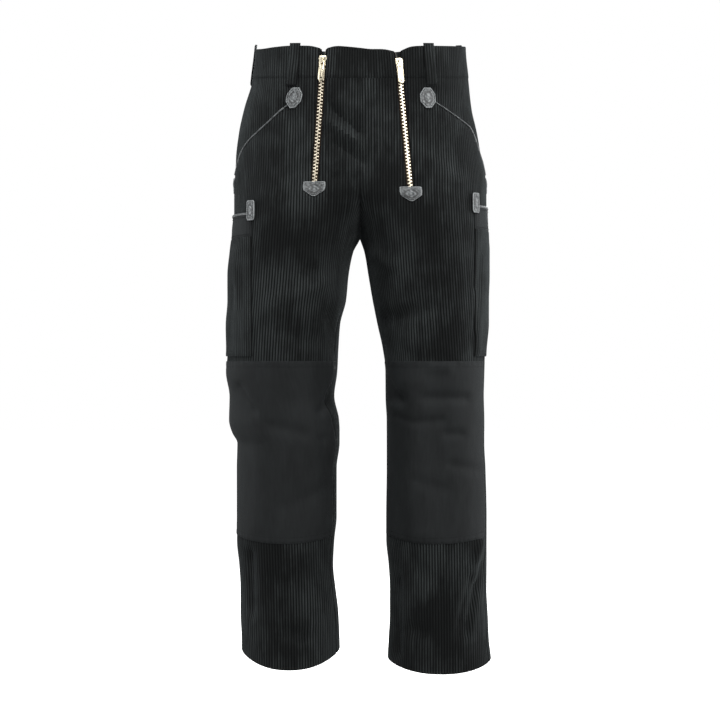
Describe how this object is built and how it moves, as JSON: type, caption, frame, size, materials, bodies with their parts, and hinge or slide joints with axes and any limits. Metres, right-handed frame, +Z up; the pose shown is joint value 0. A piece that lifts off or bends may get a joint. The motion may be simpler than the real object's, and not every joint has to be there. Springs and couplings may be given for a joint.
{
  "type": "corduroy carpenter's trousers",
  "caption": "Black corduroy work trousers in worn form, hollow, with twin front zips, slanted pockets, thigh pockets and smooth knee patches.",
  "frame": {"origin": "the middle of the waist opening at the height of the waistband's middle seam line, where the wearer's waist centre is", "axes": "+Z up along the body, +X towards the wearer's left, front of the trousers towards -Y"},
  "size_m": [0.4478, 0.2764, 1.0715],
  "materials": {
    "corduroy": "black wide-wale cotton corduroy, soft nap",
    "smooth_cloth": "black smooth hard-wearing woven cloth",
    "leather": "dark grey leather, low sheen",
    "zip_tape": "dark woven zip tape with metal teeth",
    "zip_metal": "pale brass, polished"
  },
  "bodies": {
    "trousers": {"front_leg_right": "corduroy", "front_leg_left": "corduroy", "back_leg_right": "corduroy", "back_leg_left": "corduroy", "hip_piece_right": "corduroy", "hip_piece_left": "corduroy", "waistband_right": "corduroy", "waistband_left": "corduroy", "thigh_pocket_right": "corduroy", "thigh_pocket_left": "corduroy", "belt_loop_front_right": "corduroy", "belt_loop_front_left": "corduroy", "belt_loop_side_right": "corduroy", "belt_loop_side_left": "corduroy", "thigh_band_right": "smooth_cloth", "thigh_band_left": "smooth_cloth", "knee_patch_right": "smooth_cloth", "knee_patch_left": "smooth_cloth", "zip_end_patch_right": "leather", "zip_end_patch_left": "leather", "pocket_top_patch_right": "leather", "pocket_top_patch_left": "leather", "pocket_low_patch_right": "leather", "pocket_low_patch_left": "leather", "thigh_patch_right": "leather", "thigh_patch_left": "leather", "pocket_edging_right": "leather", "pocket_edging_left": "leather", "thigh_edging_right": "leather", "thigh_edging_left": "leather", "zip_right": "zip_tape", "zip_left": "zip_tape", "zip_slider_right": "zip_metal", "zip_slider_left": "zip_metal", "waistband_front": "corduroy", "belt_loop_back": "corduroy"},
    "pull_right": {"zip_pull_right": "zip_metal"},
    "pull_left": {"zip_pull_left": "zip_metal"}
  },
  "joints": [
    {"name": "pull_right_swing", "type": "hinge", "parent": "trousers", "child": "pull_right", "pos_m": [-0.06083, -0.11781, -0.04685], "axis": [-0.9847, 0.1694, 0.0418], "range_deg": [0, 165]},
    {"name": "pull_left_swing", "type": "hinge", "parent": "trousers", "child": "pull_left", "pos_m": [0.06375, -0.11799, -0.05082], "axis": [-0.9826, -0.1752, -0.0622], "range_deg": [0, 165]}
  ]
}
